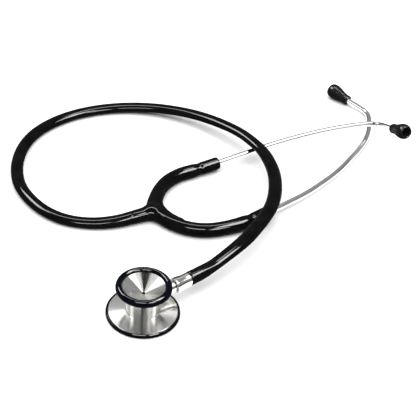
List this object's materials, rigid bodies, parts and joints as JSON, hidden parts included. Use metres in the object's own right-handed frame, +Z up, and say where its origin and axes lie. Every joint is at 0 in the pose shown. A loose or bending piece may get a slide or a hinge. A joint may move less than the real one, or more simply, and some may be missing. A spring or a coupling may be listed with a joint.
{
  "type": "stethoscope",
  "caption": "Dual-head stethoscope lying in a loop: steel bell and diaphragm chestpiece, black flexible hose, sprung yoke and two bent chrome ear tubes with soft ear tips.",
  "frame": {"origin": "centre of the diaphragm's outer face, which rests on the table", "axes": "+Z up along the chestpiece's axis, towards the bell; +Y away from the viewer, towards the ear tips; +X to the viewer's right"},
  "size_m": [0.2949, 0.308, 0.0353],
  "materials": {
    "polished_steel": "turned and polished stainless steel",
    "chrome": "mirror chrome plating",
    "spring_steel": "plain spring steel",
    "vinyl": "glossy soft vinyl",
    "ring_rubber": "glossy black non-chill rim",
    "tip_rubber": "soft satin rubber",
    "seal_rubber": "matt seal rubber",
    "membrane": "epoxy-glass diaphragm sheet"
  },
  "bodies": {
    "tubing": {"stem": "polished_steel", "stem_collar": "polished_steel", "stem_circlip": "spring_steel", "stem_o_ring_inner": "seal_rubber", "stem_o_ring_outer": "seal_rubber", "main_tube": "vinyl", "yoke_junction": "vinyl", "yoke_spring": "spring_steel"},
    "chestpiece": {"chestpiece_body": "polished_steel", "diaphragm": "membrane", "diaphragm_ring": "ring_rubber", "bell_ring": "ring_rubber", "stem_sleeve": "polished_steel", "detent_ball": "spring_steel", "detent_spring": "spring_steel"},
    "left_arm": {"left_yoke_arm": "vinyl"},
    "left_ear": {"left_ear_tube": "chrome", "left_tip_stud": "polished_steel", "left_ear_tip": "tip_rubber"},
    "right_arm": {"right_yoke_arm": "vinyl"},
    "right_ear": {"right_ear_tube": "chrome", "right_tip_stud": "polished_steel", "right_ear_tip": "tip_rubber"}
  },
  "joints": [
    {"name": "head_swivel", "type": "hinge", "parent": "tubing", "child": "chestpiece", "pos_m": [0, 0, 0.011], "axis": [0.7431, 0.6691, 0], "range_deg": [0, 180]},
    {"name": "left_arm_spread", "type": "hinge", "parent": "tubing", "child": "left_arm", "pos_m": [0.004, 0.0944, 0.005], "axis": [0, 0, -1], "range_deg": [-2, 25], "stiffness_Nm_per_rad": 1.15, "deforming": ["yoke_spring"]},
    {"name": "right_arm_spread", "type": "hinge", "parent": "tubing", "child": "right_arm", "pos_m": [-0.0029, 0.1073, 0.005], "axis": [0, 0, 1], "range_deg": [-2, 4], "stiffness_Nm_per_rad": 1.15, "deforming": ["yoke_spring"]},
    {"name": "left_ear_swivel", "type": "hinge", "parent": "left_arm", "child": "left_ear", "pos_m": [0.0787, 0.1104, 0.005], "axis": [0.7374, 0.6754, 0], "range_deg": [0, 10]},
    {"name": "right_ear_swivel", "type": "hinge", "parent": "right_arm", "child": "right_ear", "pos_m": [0.0405, 0.1638, 0.0062], "axis": [-0.8436, -0.5345, -0.051], "range_deg": [0, 20]}
  ]
}
